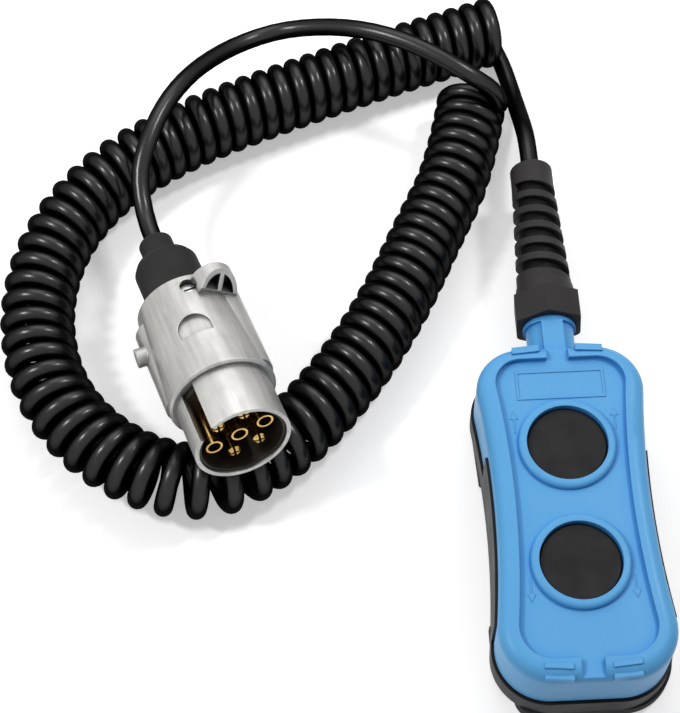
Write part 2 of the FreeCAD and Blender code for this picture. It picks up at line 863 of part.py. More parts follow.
hexagon = tied("Part::Prism", "nut_hexagon", Circumradius=size.nut_across_flats / math.sqrt(3), Height=size.nut_length)
hexagon.Polygon = 6
hexagon.Placement = Placement(Vector(0, 0, 0), Rotation(Vector(0, 0, 1), float(size.nut_turn)))
chamfer = tied(
    "Part::Cone",
    "nut_chamfer",
    Radius1=size.nut_across_flats / math.sqrt(3) - size.nut_wall * 0.2,
    Radius2=size.nut_across_flats / 2 + size.nut_length * 0.6,
    Height=size.nut_length,
)
hex_part = doc.addObject("Part::Common", "nut_flats")
hex_part.Base, hex_part.Tool = hexagon, chamfer
shoulder = raised(
    tied(
        "Part::Cone",
        "nut_round",
        Radius1=size.nut_across_flats / 2 - size.nut_wall * 0.1,
        Radius2=size.guard_start_radius + size.running_gap,
        Height=size.nut_shoulder,
    ),
    size.nut_length,
)
taper = raised(
    tied(
        "Part::Cone",
        "guard_taper",
        Radius1=size.guard_start_radius,
        Radius2=size.guard_end_radius,
        Height=size.guard_length,
    ),
    guard_low,
)
lean = math.degrees(math.atan2(size.guard_end_radius - size.guard_start_radius, size.guard_length))
groove_line = tied(
    "Part::Helix",
    "guard_spiral",
    Pitch=size.guard_pitch,
    Height=size.guard_length - size.guard_pitch,
    Radius=size.guard_start_radius,
)
groove_line.Angle = lean
groove_line.LocalCoord = 1
groove_section = doc.addObject("Part::Plane", "guard_groove_section")
bind(groove_section, "Length", size.guard_groove_depth * 2)
bind(groove_section, "Width", size.guard_groove)
groove_section.Placement = Placement(
    Vector(float(size.guard_start_radius - size.guard_groove_depth), 0, 0), Rotation(Vector(1, 0, 0), 90)
)
bind(groove_section, "Placement.Base.x", size.guard_start_radius - size.guard_groove_depth)
doc.recompute()
groove = doc.addObject("Part::Sweep", "guard_groove")
groove.Sections = [groove_section]
groove.Spine = (groove_line, [f"Edge{i}" for i in range(1, len(groove_line.Shape.Edges) + 1)])
groove.Solid = True
groove.Frenet = True
raised(groove, guard_low + size.guard_pitch / 4)
grooved = doc.addObject("Part::Cut", "guard_spring")
grooved.Base, grooved.Tool = taper, groove
tip = raised(tied("Part::Cylinder", "guard_tip_block", Radius=size.guard_end_radius, Height=size.guard_tip), guard_high)
doc.recompute()
rounded_tip = doc.addObject("Part::Fillet", "guard_tip")
rounded_tip.Base = tip
tip_edge = next(
    i
    for i, edge in enumerate(tip.Shape.Edges, start=1)
    if edge.BoundBox.ZMin > float(tip_high) - 1e-3
)
rounded_tip.Edges = [(tip_edge, float(size.guard_tip_rounding), float(size.guard_tip_rounding))]
blank = doc.addObject("Part::MultiFuse", "nut_blank")
blank.Shapes = [hex_part, shoulder, grooved, rounded_tip]
doc.recompute()
inside = tied("Part::Cylinder", "nut_thread_way", Radius=nut_cavity, Height=claw_high + size.fitting_gap)
cord_hole = tied("Part::Cylinder", "guard_cord_way", Radius=cord_way, Height=tip_high)
hollow = doc.addObject("Part::MultiFuse", "nut_hollow")
hollow.Shapes = [inside, cord_hole]
gland_nut = doc.addObject("Part::Cut", "gland_nut")
gland_nut.Base, gland_nut.Tool = blank, hollow
gland_nut.Label = "gland_nut"
gland_nut.Placement = gland_place
bind(gland_nut, "Placement.Base.y", size.nut_start)
bind(gland_nut, "Placement.Base.z", size.neck_level)
doc.recompute()

# plug shell: cast body with contact barrel, pull ear, side bosses, catch notch and keyway
plug_turn = Rotation(Vector(0, 0, 1), float(size.plug_azimuth)) * Rotation(
    Vector(1, 0, 0), 90 - float(size.plug_tilt)
)
plug_place = Placement(Vector(float(size.plug_x), float(size.plug_y), float(size.plug_z)), plug_turn)


def on_plug(x=0.0, y=0.0, z=0.0, turn=Rotation()):
    """A placement given in the plug's own frame: Z out of its mouth, origin in the mouth's middle."""
    return plug_place * Placement(Vector(float(x), float(y), float(z)), turn)


plug_shell = turned(
    "plug_shell",
    [
        (0.0, 0.0),
        (size.barrel_radius, 0.0),
        (size.barrel_radius, -size.barrel_length),
        (size.shoulder_radius - size.shoulder_edge, -size.barrel_length),
        (size.shoulder_radius, -size.barrel_length - size.shoulder_edge),
        (size.tail_radius, -size.shell_length),
        (0.0, -size.shell_length),
    ],
    plug_place,
)
ear_back = size.ear_start + size.ear_length
sketch = sketch_on(plug_shell, "ear_outline", offset=-ear_back, angle=size.ear_angle)
circle(sketch, size.ear_reach, 0.0, size.ear_radius)
pad(plug_shell, "pull_ear", sketch, size.ear_length)
boss_low = -size.shell_length + size.shell_wall * 2
sketch = sketch_on(plug_shell, "boss_circles", offset=boss_low)
for direction in (size.boss_angle_right, size.boss_angle_left):
    circle(sketch, *around(direction, size.boss_offset), size.boss_radius)
pad(plug_shell, "side_bosses", sketch, size.shell_length - size.barrel_length - size.shell_wall * 3)
sketch = sketch_facing(plug_shell, "nub_circle", size.nub_angle, size.barrel_bore)
circle(sketch, 0.0, -size.nub_back, size.nub_radius)
pad(plug_shell, "side_nub", sketch, size.nub_reach - size.barrel_bore)

sketch = sketch_on(plug_shell, "bore_profile", "XZ_Plane")
cavity_radius = size.tail_radius - size.shell_wall
boot_hole = size.boot_radius + size.running_gap
rear_lip = size.shell_wall
polygon(
    sketch,
    [
        (0.0, 1.0),
        (size.barrel_bore, 1.0),
        (size.barrel_bore, -size.shell_seat),
        (cavity_radius, -size.shell_seat),
        (cavity_radius, rear_lip - size.shell_length),
        (boot_hole, rear_lip - size.shell_length),
        (boot_hole, -size.shell_length - 1),
        (0.0, -size.shell_length - 1),
    ],
)
bore = plug_shell.newObject("PartDesign::Groove", "shell_bore")
bore.Profile = sketch
bore.ReferenceAxis = (sketch, ["V_Axis"])
bore.Angle = 360
doc.recompute()

sketch = sketch_on(plug_shell, "keyway_outline", angle=size.keyway_angle)
half_key = size.keyway_width / 2
rectangle(sketch, size.contact_circle + size.pin_radius, -half_key, size.shoulder_radius, half_key)
pocket(plug_shell, "keyway", sketch, size.barrel_length)

ear_side = size.ear_radius + 1
ear_outside = size.ear_reach + ear_side
sketch = sketch_facing(plug_shell, "ear_slant", size.ear_angle - 90, ear_side)
polygon(
    sketch,
    [
        (size.tail_radius + size.ear_root, size.ear_root - size.ear_start),
        (ear_outside, size.ear_root - size.ear_start),
        (ear_outside, -size.ear_start - size.ear_slant),
    ],
)
pocket(plug_shell, "ear_slant_cut", sketch, ear_side * 2)

ear_floor = size.ear_radius - size.ear_wall
sketch = sketch_on(plug_shell, "ear_cups_outline", offset=-size.ear_start, angle=size.ear_angle)
for side in (-1, 1):
    chord = float(size.tail_radius + size.ear_root * 2 - size.ear_reach)
    half_web = float(size.ear_wall) / 2
    far_v = math.sqrt(float(ear_floor) ** 2 - chord**2)
    far_u = math.sqrt(float(ear_floor) ** 2 - half_web**2)
    reach_x = float(size.ear_reach)
    corners = [
        Vector(reach_x + chord, side * half_web, 0),
        Vector(reach_x + chord, side * far_v, 0),
        Vector(reach_x + far_u, side * half_web, 0),
    ]
    middle = math.radians(45)
    bow = Vector(
        reach_x + float(ear_floor) * math.cos(middle), side * float(ear_floor) * math.sin(middle), 0
    )
    first = sketch.addGeometry(Part.LineSegment(corners[0], corners[1]), False)
    second = sketch.addGeometry(Part.Arc(corners[1], bow, corners[2]), False)
    third = sketch.addGeometry(Part.LineSegment(corners[2], corners[0]), False)
    for edge in (first, second, third):
        sketch.addConstraint(Sketcher.Constraint("Block", edge))
pocket(plug_shell, "ear_cups", sketch, size.ear_length - size.ear_wall)

sketch = sketch_facing(plug_shell, "catch_outline", size.catch_angle, size.shoulder_radius)
wide = float(size.catch_half_width)
front, back = -float(size.catch_front), -float(size.catch_back)
edges = [
    Part.LineSegment(Vector(-wide, front, 0), Vector(wide, front, 0)),
    Part.LineSegment(Vector(wide, front, 0), Vector(wide, back, 0)),
    Part.Arc(Vector(wide, back, 0), Vector(0, back - wide, 0), Vector(-wide, back, 0)),
    Part.LineSegment(Vector(-wide, back, 0), Vector(-wide, front, 0)),
]
for edge in edges:
    index = sketch.addGeometry(edge, False)
    sketch.addConstraint(Sketcher.Constraint("Block", index))
pocket(plug_shell, "catch_notch", sketch, size.shoulder_radius - size.catch_floor)

sketch = sketch_facing(plug_shell, "shell_screw_circle", size.shell_screw_angle, size.shoulder_radius)
circle(sketch, 0.0, -size.shell_screw_back, size.shell_screw_radius + size.running_gap)
pocket(plug_shell, "shell_screw_hole", sketch, size.shoulder_radius - cavity_radius + 1)

# grub screw in the shell's rear wall, on the boot's flange
screw_turn = Rotation(Vector(0, 0, 1), Vector(*around(size.shell_screw_angle, 1.0), 0))
shell_screw = turned(
    "shell_screw",
    [
        (0.0, size.boot_flange_radius),
        (size.shell_screw_radius, size.boot_flange_radius),
        (size.shell_screw_radius, size.tail_radius - size.shell_screw_sink),
        (0.0, size.tail_radius - size.shell_screw_sink),
    ],
    on_plug(z=-size.shell_screw_back, turn=screw_turn),
)
sketch = sketch_on(shell_screw, "driver_slot", offset=size.tail_radius)
rectangle(
    sketch, -size.shell_screw_radius, -size.pin_slot / 2, size.shell_screw_radius, size.pin_slot / 2
)
pocket(shell_screw, "driver_slot_cut", sketch, size.shell_screw_radius)

# moulded insert that carries the contacts, with a sleeve that lines the barrel
insert_back = size.insert_face + size.insert_length
insert_radius = size.barrel_bore - size.fitting_gap
contact_insert = turned(
    "contact_insert",
    [
        (0.0, -size.insert_face),
        (insert_radius - size.liner_thickness, -size.insert_face),
        (insert_radius - size.liner_thickness, -size.liner_setback),
        (insert_radius, -size.liner_setback),
        (insert_radius, -insert_back),
        (0.0, -insert_back),
    ],
    plug_place,
)
sketch = sketch_on(contact_insert, "liner_slot_outline", angle=size.keyway_angle)
rectangle(sketch, size.contact_circle + size.pin_radius, -half_key, size.shoulder_radius, half_key)
pocket(contact_insert, "liner_slot", sketch, size.insert_face)
contact_step = 360 / 6
tube_places = [(0.0, 0.0)] + [
    around(size.contact_turn + place * contact_step, size.contact_circle) for place in (0, 3)
]
pin_places = [
    around(size.contact_turn + place * contact_step, size.contact_circle) for place in (1, 2, 4, 5)
]
sketch = sketch_on(contact_insert, "contact_circles", offset=-size.insert_face)
for x, y in tube_places:
    circle(sketch, x, y, size.tube_radius)
for x, y in pin_places:
    circle(sketch, x, y, size.pin_shank_radius)
pocket(contact_insert, "contact_holes", sketch, size.insert_length)

contact_end = insert_back + size.contact_tail
tubes = []
for index, (x, y) in enumerate(tube_places, start=1):
    tube = turned(
        f"tube_contact_{index}",
        [
            (size.tube_bore, -size.contact_setback),
            (size.tube_radius, -size.contact_setback),
            (size.tube_radius, -contact_end),
            (0.0, -contact_end),
            (0.0, -size.insert_face),
            (size.tube_bore, -size.insert_face),
        ],
        on_plug(x, y),
    )
    tubes.append(tube)
tube_contacts = group("tube_contacts", tubes)

pins = []
for index, (x, y) in enumerate(pin_places, start=1):
    pin = turned(
        f"split_pin_{index}",
        [
            (0.0, -size.contact_setback),
            (size.pin_radius - size.pin_slot, -size.contact_setback),
            (size.pin_radius, -size.contact_setback - size.pin_slot),
            (size.pin_radius, -size.insert_face),
            (size.pin_shank_radius, -size.insert_face),
            (size.pin_shank_radius, -contact_end),
            (0.0, -contact_end),
        ],
        on_plug(x, y),
    )
    for name, angle in (("slot", 0), ("cross", 90)):
        sketch = sketch_on(pin, f"pin_{index}_{name}", offset=-size.contact_setback, angle=angle)
        half_slot = size.pin_slot / 2
        rectangle(sketch, -size.pin_radius * 2, -half_slot, size.pin_radius * 2, half_slot)
        pocket(pin, f"pin_{index}_{name}_cut", sketch, size.pin_slot_depth)
    pins.append(pin)
split_pins = group("split_pins", pins)

# clamp round the cord, with its screws, inside the shell
clamp_end = size.clamp_back + size.clamp_length
cable_clamp = turned(
    "cable_clamp",
    [
        (cord_way, -size.clamp_back),
        (cavity_radius - size.fitting_gap * 2, -size.clamp_back),
        (cavity_radius - size.fitting_gap * 2, -clamp_end),
        (cord_way, -clamp_end),
    ],
    plug_place,
)
clamp_screw_reach = (cavity_radius + size.cord_radius) / 2
sketch = sketch_on(cable_clamp, "clamp_screw_circles", "XZ_Plane", offset=-size.tail_radius)
for side in (-1, 1):
    circle(sketch, side * clamp_screw_reach, -size.clamp_back - size.clamp_length / 2, size.clamp_screw_radius)
pocket(cable_clamp, "clamp_screw_holes", sketch, size.tail_radius * 2, reverse=True)
clamp_screws_made = []
for side in (-1, 1):
    screw = tied("Part::Cylinder", f"clamp_screw_{side + 2}")
    bind(screw, "Radius", size.clamp_screw_radius)
    bind(screw, "Height", size.clamp_screw_length)
    screw.Placement = on_plug(
        side * clamp_screw_reach,
        -size.clamp_screw_length / 2,
        -size.clamp_back - size.clamp_length / 2,
        Rotation(Vector(1, 0, 0), -90),
    )
    clamp_screws_made.append(screw)
clamp_screws = group("clamp_screws", clamp_screws_made)

# rubber boot: its flange sits inside the shell's rear lip
flange_back = size.shell_length - rear_lip - size.fitting_gap * 2
flange_front = flange_back - size.boot_flange_length
neck_low = size.boot_end + size.boot_neck_length
plug_boot = turned(
    "plug_boot",
    [
        (cord_way, -flange_front),
        (size.boot_flange_radius, -flange_front),
        (size.boot_flange_radius, -flange_back),
        (size.boot_radius, -flange_back),
        (size.boot_radius, size.boot_rounding - size.boot_end),
        (size.boot_radius - size.boot_rounding / 3, size.boot_rounding / 3 - size.boot_end),
        (size.boot_radius - size.boot_rounding, -size.boot_end),
        (size.boot_neck_radius, -size.boot_end),
        (size.boot_neck_radius, -neck_low),
        (size.boot_ring_radius, -neck_low - size.pin_slot),
        (size.boot_ring_radius, size.pin_slot - size.boot_tip),
        (size.boot_ring_radius - size.pin_slot, -size.boot_tip),
        (cord_way, -size.boot_tip),
    ],
    plug_place,
)

# the cord where it runs inside the gland and inside the plug
lead_start = size.case_top - size.case_wall * 4
inner_lead = tied("Part::Cylinder", "inner_lead", Radius=size.cord_radius)
bind(inner_lead, "Height", size.nut_start + tip_high - lead_start)
inner_lead.Placement = Placement(
    Vector(0, float(lead_start), float(size.neck_level)), Rotation(Vector(1, 0, 0), -90)
)
bind(inner_lead, "Placement.Base.y", lead_start)
bind(inner_lead, "Placement.Base.z", size.neck_level)
inner_lead.Label = "inner_lead"
inner_tail = tied("Part::Cylinder", "inner_tail", Radius=size.cord_radius)
bind(inner_tail, "Height", size.boot_tip - size.clamp_back + size.shell_wall)
inner_tail.Placement = on_plug(z=-size.boot_tip)
inner_tail.Label = "inner_tail"
doc.recompute()


def tube_along(name, points, radius):
    """A round tube along straight runs joined by the largest tangent arcs that the runs allow."""
    points = [Vector(*point) for point in points]
    edges, start, radii = [], points[0], []
    for before, point, after in zip(points, points[1:], points[2:]):
        back, ahead = before - point, after - point
        turn = math.pi - back.getAngle(ahead)
        cut = 0.45 * min(back.Length, ahead.Length)
        radii.append(cut / math.tan(turn / 2))
        arc_start = point + back * (cut / back.Length)
        arc_end = point + ahead * (cut / ahead.Length)
        inward = back.normalize() + ahead.normalize()
        depth = radii[-1] / math.cos(turn / 2) - radii[-1]
        middle = point + inward.normalize() * depth
        edges.append(Part.LineSegment(start, arc_start).toShape())
        edges.append(Part.Arc(arc_start, middle, arc_end).toShape())
        start = arc_end
    edges.append(Part.LineSegment(start, points[-1]).toShape())
    path = Part.Wire(edges)
    direction = points[1] - points[0]
    section = Part.Wire(Part.makeCircle(float(radius), points[0], direction))
    solid = path.makePipeShell([section], True, True)
    expected = math.pi * float(radius) ** 2 * path.Length
    if abs(solid.Volume / expected - 1) > 0.005:
        raise RuntimeError(f"{name} has the wrong volume")
    print(name, "length", round(path.Length, 1), "radii", [round(r, 1) for r in radii])
    thing = doc.addObject("Part::Feature", name)
    thing.Label = name
    thing.Shape = solid
    thing.Placement = Placement()
    return thing


# routes over the floor: the curly cord is one fat tube, and plain cord runs on from both of its ends
neck_y = float(size.nut_start + tip_high)
neck_z = float(size.neck_level)
LEAD_ROUTE = [
    (-8, 228, 3.7),
    (-4.5, 216, 3.7),
    (-2, 203, 4.5),
    (-0.5, 188, 10),
    (0.3, 174, 19),
    (0, 161.5, neck_z),
    (0, neck_y, neck_z),
]
COIL_ROUTE = [
    (-5, 227),
    (-40, 216.5),
    (-74, 205),
    (-107, 193),
    (-139, 179),
    (-169, 159),
    (-190, 130),
    (-197, 95),
    (-188, 60),
    (-163, 33),
    (-130, 21),
    (-98, 34),
    (-77, 62),
    (-58, 94),
    (-42, 127),
    (-28, 158),
    (-21, 191),
]
boot_tip = on_plug(z=-size.boot_tip).Base
boot_way = on_plug(z=-size.boot_tip - size.boot_lead_in).Base
TAIL_ROUTE = [
    (-10.5, 179, 14.2),
    (-6.5, 181, 21.5),
    (-8.5, 182.5, 31),
    (-18, 184.5, 39),
    (-30, 190, 42.5),
    (-45, 200, 43.5),
    (-62, 210.5, 41),
    (-79, 219, 33),
    (-97, 223, 25),
    (-116, 218, 26),
    (-130, 203, 35),
    (-139, 186, 42),
    (-145, 171, 43),
    (-150, 157, 41),
    (-153, 146, 35.5),
    tuple(boot_way),
    tuple(boot_tip),
]
cord_lead = tube_along("cord_lead", LEAD_ROUTE, size.cord_radius)
cord_coil = tube_along("cord_coil", [(x, y, float(size.coil_radius)) for x, y in COIL_ROUTE], size.coil_radius)
cord_tail = tube_along("cord_tail", TAIL_ROUTE, size.cord_radius)

NODES = [
    front_shell,
    case_seal,
    rear_cover,
    back_pad,
    case_screws,
    switch_plate,
    plate_screws,
    *parts["up"],
    *parts["down"],
    terminal_screws,
    gland_seal,
    gland_claws,
    gland_nut,
    inner_lead,
    cord_lead,
    cord_coil,
    cord_tail,
    plug_shell,
    shell_screw,
    contact_insert,
    tube_contacts,
    split_pins,
    cable_clamp,
    clamp_screws,
    plug_boot,
    inner_tail,
]

doc.recompute()
for thing in doc.Objects:
    if "Invalid" in thing.State or "Error" in thing.State:
        raise RuntimeError(f"{thing.Name} failed: {thing.State}")
for node in NODES:
    if node.Shape.isNull() or not node.Shape.isValid():
        raise RuntimeError(f"{node.Label} has no valid shape")

os.makedirs("parts", exist_ok=True)
for node in NODES:
    node.Shape.exportStep(f"parts/{node.Label}.step")
    print(node.Label, len(node.Shape.Solids), "solids", round(node.Shape.Volume), "mm3")
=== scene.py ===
import json
import math

import bpy
from mathutils import Matrix, Vector


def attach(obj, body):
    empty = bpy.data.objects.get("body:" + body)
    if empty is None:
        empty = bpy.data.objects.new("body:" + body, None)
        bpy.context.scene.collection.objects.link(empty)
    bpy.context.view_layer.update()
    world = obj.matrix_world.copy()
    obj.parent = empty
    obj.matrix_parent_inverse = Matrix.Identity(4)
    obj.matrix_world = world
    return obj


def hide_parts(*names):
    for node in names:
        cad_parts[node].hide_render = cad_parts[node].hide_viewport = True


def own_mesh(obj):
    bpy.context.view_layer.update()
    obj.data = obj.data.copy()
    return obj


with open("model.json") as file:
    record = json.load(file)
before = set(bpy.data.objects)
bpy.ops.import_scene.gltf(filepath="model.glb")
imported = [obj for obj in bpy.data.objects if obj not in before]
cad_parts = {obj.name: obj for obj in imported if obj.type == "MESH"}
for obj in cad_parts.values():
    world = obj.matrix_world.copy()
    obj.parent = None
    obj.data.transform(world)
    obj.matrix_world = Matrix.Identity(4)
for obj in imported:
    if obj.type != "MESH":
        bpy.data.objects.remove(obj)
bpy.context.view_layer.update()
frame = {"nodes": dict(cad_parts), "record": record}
nodes = frame["nodes"]
bpy.ops.object.select_all(action="DESELECT")

# The camera: a long lens, held about 0.6 m up before the handset's foot and tipped down at it.
# Its place and turn were found from the outlines of the case, the buttons and the plug.
lens_mm = 90.62
sensor_mm = 36
near_clip = 0.02
camera_place = Vector((-0.08636, -0.25238, 0.61178))
camera_right = Vector((0.9989, -0.0449, -0.0119))
camera_up = Vector((0.0451, 0.8765, 0.4793))
camera_data = bpy.data.cameras.new("camera")
camera_data.lens = lens_mm
camera_data.sensor_width = sensor_mm
camera_data.clip_start = near_clip
camera = bpy.data.objects.new("camera", camera_data)
camera.matrix_world = Matrix.Translation(camera_place) @ Matrix(
    (camera_right, camera_up, camera_right.cross(camera_up))
).transposed().to_4x4()
bpy.context.scene.collection.objects.link(camera)
bpy.context.scene.camera = camera
bpy.context.scene.view_settings.view_transform = "Standard"

# The table: a plain pale sheet, with a white room round it.
# It keeps the soft shadow of what lies on it, and both show white to the camera and in gloss.
table_width = 6
table_middle = (-0.09, 0.09, -0.0002)
table_colour = (0.86, 0.86, 0.86, 1)
table_glow = 0.42
bpy.ops.mesh.primitive_plane_add(size=table_width, location=table_middle)
table_top = bpy.context.object
table_top.name = "table_top"
table_paint = bpy.data.materials.new("white_table")
table_paint.use_nodes = True
tree = table_paint.node_tree
paint = tree.nodes["Principled BSDF"]
paint.inputs["Base Color"].default_value = table_colour
paint.inputs["Roughness"].default_value = 0.9
ray = tree.nodes.new("ShaderNodeLightPath")
glow = tree.nodes.new("ShaderNodeEmission")
seen = tree.nodes.new("ShaderNodeMath")
seen.operation = "MAXIMUM"
lift = tree.nodes.new("ShaderNodeMath")
lift.operation = "MULTIPLY"
lift.inputs[1].default_value = table_glow
both = tree.nodes.new("ShaderNodeAddShader")
tree.links.new(ray.outputs["Is Camera Ray"], seen.inputs[0])
tree.links.new(ray.outputs["Is Glossy Ray"], seen.inputs[1])
tree.links.new(seen.outputs[0], lift.inputs[0])
tree.links.new(lift.outputs[0], glow.inputs["Strength"])
tree.links.new(paint.outputs[0], both.inputs[0])
tree.links.new(glow.outputs[0], both.inputs[1])
tree.links.new(both.outputs[0], tree.nodes["Material Output"].inputs["Surface"])
table_top.data.materials.append(table_paint)

room_light = 0.24
room_white = 1.0
room = bpy.data.worlds.new("white_room")
bpy.context.scene.world = room
room.use_nodes = True
tree = room.node_tree
sky = tree.nodes["Background"]
sky.inputs["Color"].default_value = (1, 1, 1, 1)
ray = tree.nodes.new("ShaderNodeLightPath")
seen = tree.nodes.new("ShaderNodeMath")
seen.operation = "MAXIMUM"
level = tree.nodes.new("ShaderNodeMapRange")
level.inputs["To Min"].default_value = room_light
level.inputs["To Max"].default_value = room_white
either = tree.nodes.new("ShaderNodeMath")
either.operation = "MAXIMUM"
tree.links.new(ray.outputs["Is Camera Ray"], seen.inputs[0])
tree.links.new(ray.outputs["Is Transmission Ray"], seen.inputs[1])
tree.links.new(seen.outputs[0], either.inputs[0])
tree.links.new(ray.outputs["Is Glossy Ray"], either.inputs[1])
tree.links.new(either.outputs[0], level.inputs["Value"])
tree.links.new(level.outputs["Result"], sky.inputs["Strength"])

# The lamps: two small soft boxes, high on the left and right, and a wide one high at the back.
# The pair leaves the two small bright marks on each turn of the curly cord.
lamps_aim = Vector((-0.09, 0.08, 0.02))
for lamp_name, place, width, watts in (
    ("left_box", (-0.75, 0.05, 0.85), 0.16, 5.0),
    ("right_box", (0.45, 0.35, 0.95), 0.16, 3.9),
    ("over_box", (-0.1, 0.95, 1.0), 0.9, 5.6),
):
    lamp_data = bpy.data.lights.new(lamp_name, "AREA")
    lamp_data.size = width
    lamp_data.energy = watts
    lamp = bpy.data.objects.new(lamp_name, lamp_data)
    lamp.location = place
    lamp.rotation_euler = (lamps_aim - Vector(place)).to_track_quat("-Z", "Y").to_euler()
    bpy.context.scene.collection.objects.link(lamp)

# The cord: seven cores in a glossy black polyurethane sheath, 7.1 mm thick.
# It leaves the gland, is wound left-handed into a curly cord about 29 mm across, lies in one loop
# on the table, and runs back over its own end in a loose bow to the plug's boot.
cord_radius = 0.00355
turn_radius = 0.0108
turn_touch = 0.0070
points_per_turn = 16
coil_line_steps = 24
cord_steps = 3
cord_roundness = 8
boot_run = 0.012
boot_mouth = Vector((-0.14744, 0.11783, 0.03085))
LEAD_POINTS = [
    (0, 0.1486, 0.024),
    (0, 0.1615, 0.024),
    (-0.0003, 0.174, 0.019),
    (-0.0004, 0.188, 0.01),
    (-0.0015, 0.2029, 0.0045),
    (-0.0037, 0.216, 0.0037),
]
COIL_POINTS = [
    (-0.0069, 0.2266),
    (-0.04, 0.2165),
    (-0.074, 0.2045),
    (-0.107, 0.1925),
    (-0.139, 0.179),
    (-0.1693, 0.1594),
    (-0.1897, 0.13),
    (-0.1959, 0.095),
    (-0.1875, 0.06),
    (-0.163, 0.0332),
    (-0.1302, 0.0215),
    (-0.1011, 0.0378),
    (-0.0779, 0.0629),
    (-0.0578, 0.0937),
    (-0.042, 0.127),
    (-0.0264, 0.1579),
    (-0.0191, 0.1919),
]
TAIL_POINTS = [
    (-0.0093, 0.1816, 0.0215),
    (-0.0113, 0.1827, 0.031),
    (-0.0193, 0.1831, 0.039),
    (-0.03, 0.1895, 0.0425),
    (-0.045, 0.1995, 0.0435),
    (-0.0621, 0.2087, 0.041),
    (-0.0791, 0.2178, 0.033),
    (-0.0974, 0.2231, 0.025),
    (-0.1146, 0.216, 0.026),
    (-0.1276, 0.2002, 0.035),
    (-0.1368, 0.1847, 0.042),
    (-0.1444, 0.171, 0.043),
    (-0.15, 0.157, 0.041),
    (-0.1536, 0.146, 0.0355),
]


def smooth_line(name, points):
    """A curve object with one smooth spline that the given points pull into shape."""
    data = bpy.data.curves.new(name, "CURVE")
    data.dimensions = "3D"
    spline = data.splines.new("NURBS")
    spline.points.add(len(points) - 1)
    for point, place in zip(spline.points, points):
        point.co = (*place, 1)
        point.radius = cord_radius
    spline.order_u = 3
    spline.use_endpoint_u = True
    line = bpy.data.objects.new(name, data)
    bpy.context.scene.collection.objects.link(line)
    return line


coil_height = turn_radius + cord_radius
coil_line = smooth_line("coil_line", [(x, y, coil_height) for x, y in COIL_POINTS])
coil_line.data.resolution_u = coil_line_steps
coil_mesh = bpy.data.meshes.new_from_object(coil_line)
middles = [vertex.co.copy() for vertex in coil_mesh.vertices]
bpy.data.objects.remove(coil_line)

# The turns grow in number with the length of the coil's inner side, where they touch.
up = Vector((0, 0, 1))
full_turn = 2 * math.pi
quarter_turn = math.pi / 2
across = []
for before, after in zip([middles[0]] + middles[:-1], middles[1:] + [middles[-1]]):
    across.append((after - before).cross(up).normalized())
phases = [0.0]
for index in range(1, len(middles)):
    step = middles[index] - middles[index - 1]
    bend = (across[index] - across[index - 1]).length
    inner = step.length - bend * turn_radius
    phases.append(phases[-1] + full_turn * inner / turn_touch)
# The first turn starts at the bottom, and the last ends on the side away from the loop, going up.
first_phase = -quarter_turn
whole = math.floor((phases[-1] - quarter_turn) / full_turn) * full_turn + quarter_turn
stretch = whole / phases[-1]
count = int(whole / full_turn * points_per_turn)
# The spline cuts inside its points, so they stand this far out.
wrap = turn_radius / math.cos(math.pi / points_per_turn)
helix = []
index = 0
for number in range(count + 1):
    phase = whole * number / count
    while index < len(phases) - 2 and phases[index + 1] * stretch < phase:
        index += 1
    share = (phase - phases[index] * stretch) / ((phases[index + 1] - phases[index]) * stretch)
    middle = middles[index].lerp(middles[index + 1], share)
    side = across[index].lerp(across[index + 1], share).normalized()
    turn = first_phase + phase
    helix.append(middle + wrap * (math.cos(turn) * side + math.sin(turn) * up))

# The cord goes straight into the boot, along the plug's own axis.
mounts = frame["record"]["mounts"]
boot_axis = Vector(next(mount for mount in mounts if mount["name"] == "plug_barrel")["axis"])
near_boot = [boot_mouth - boot_axis * boot_run, boot_mouth]
lead = [Vector(point) for point in LEAD_POINTS]
tail = [Vector(point) for point in TAIL_POINTS]
cord = smooth_line("cord", lead + helix + tail + near_boot)
cord.data.resolution_u = cord_steps
cord.data.bevel_depth = 1.0
cord.data.bevel_resolution = cord_roundness
cord.data.use_fill_caps = True

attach(cord, "housing")
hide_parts("cord_lead", "cord_coil", "cord_tail")


def new_effect(name, inputs, outputs):
    """An empty node group with number inputs and the named outputs."""
    group = bpy.data.node_groups.new(name, "ShaderNodeTree")
    for label, value in inputs.items():
        socket = group.interface.new_socket(label, in_out="INPUT", socket_type="NodeSocketFloat")
        socket.default_value = value
    for label, kind in outputs.items():
        group.interface.new_socket(label, in_out="OUTPUT", socket_type=kind)
    return group, group.nodes.new("NodeGroupInput"), group.nodes.new("NodeGroupOutput")


# Grain: the fine texture of a moulded or cast skin, and the slow clouds in its colour and gloss.
noise_low = 0.3
noise_high = 0.7
surface_grain, given, made = new_effect(
    "surface_grain",
    {"Grain": 2500.0, "Clouds": 60.0},
    {"Grain": "NodeSocketFloat", "Clouds": "NodeSocketFloat"},
)
place = surface_grain.nodes.new("ShaderNodeTexCoord")
for label, detail in (("Grain", 2.0), ("Clouds", 4.0)):
    noise = surface_grain.nodes.new("ShaderNodeTexNoise")
    noise.inputs["Detail"].default_value = detail
    spread = surface_grain.nodes.new("ShaderNodeMapRange")
    spread.inputs["From Min"].default_value = noise_low
    spread.inputs["From Max"].default_value = noise_high
    surface_grain.links.new(place.outputs["Object"], noise.inputs["Vector"])
    surface_grain.links.new(given.outputs[label], noise.inputs["Scale"])
    surface_grain.links.new(noise.outputs["Fac"], spread.inputs["Value"])
    surface_grain.links.new(spread.outputs["Result"], made.inputs[label])

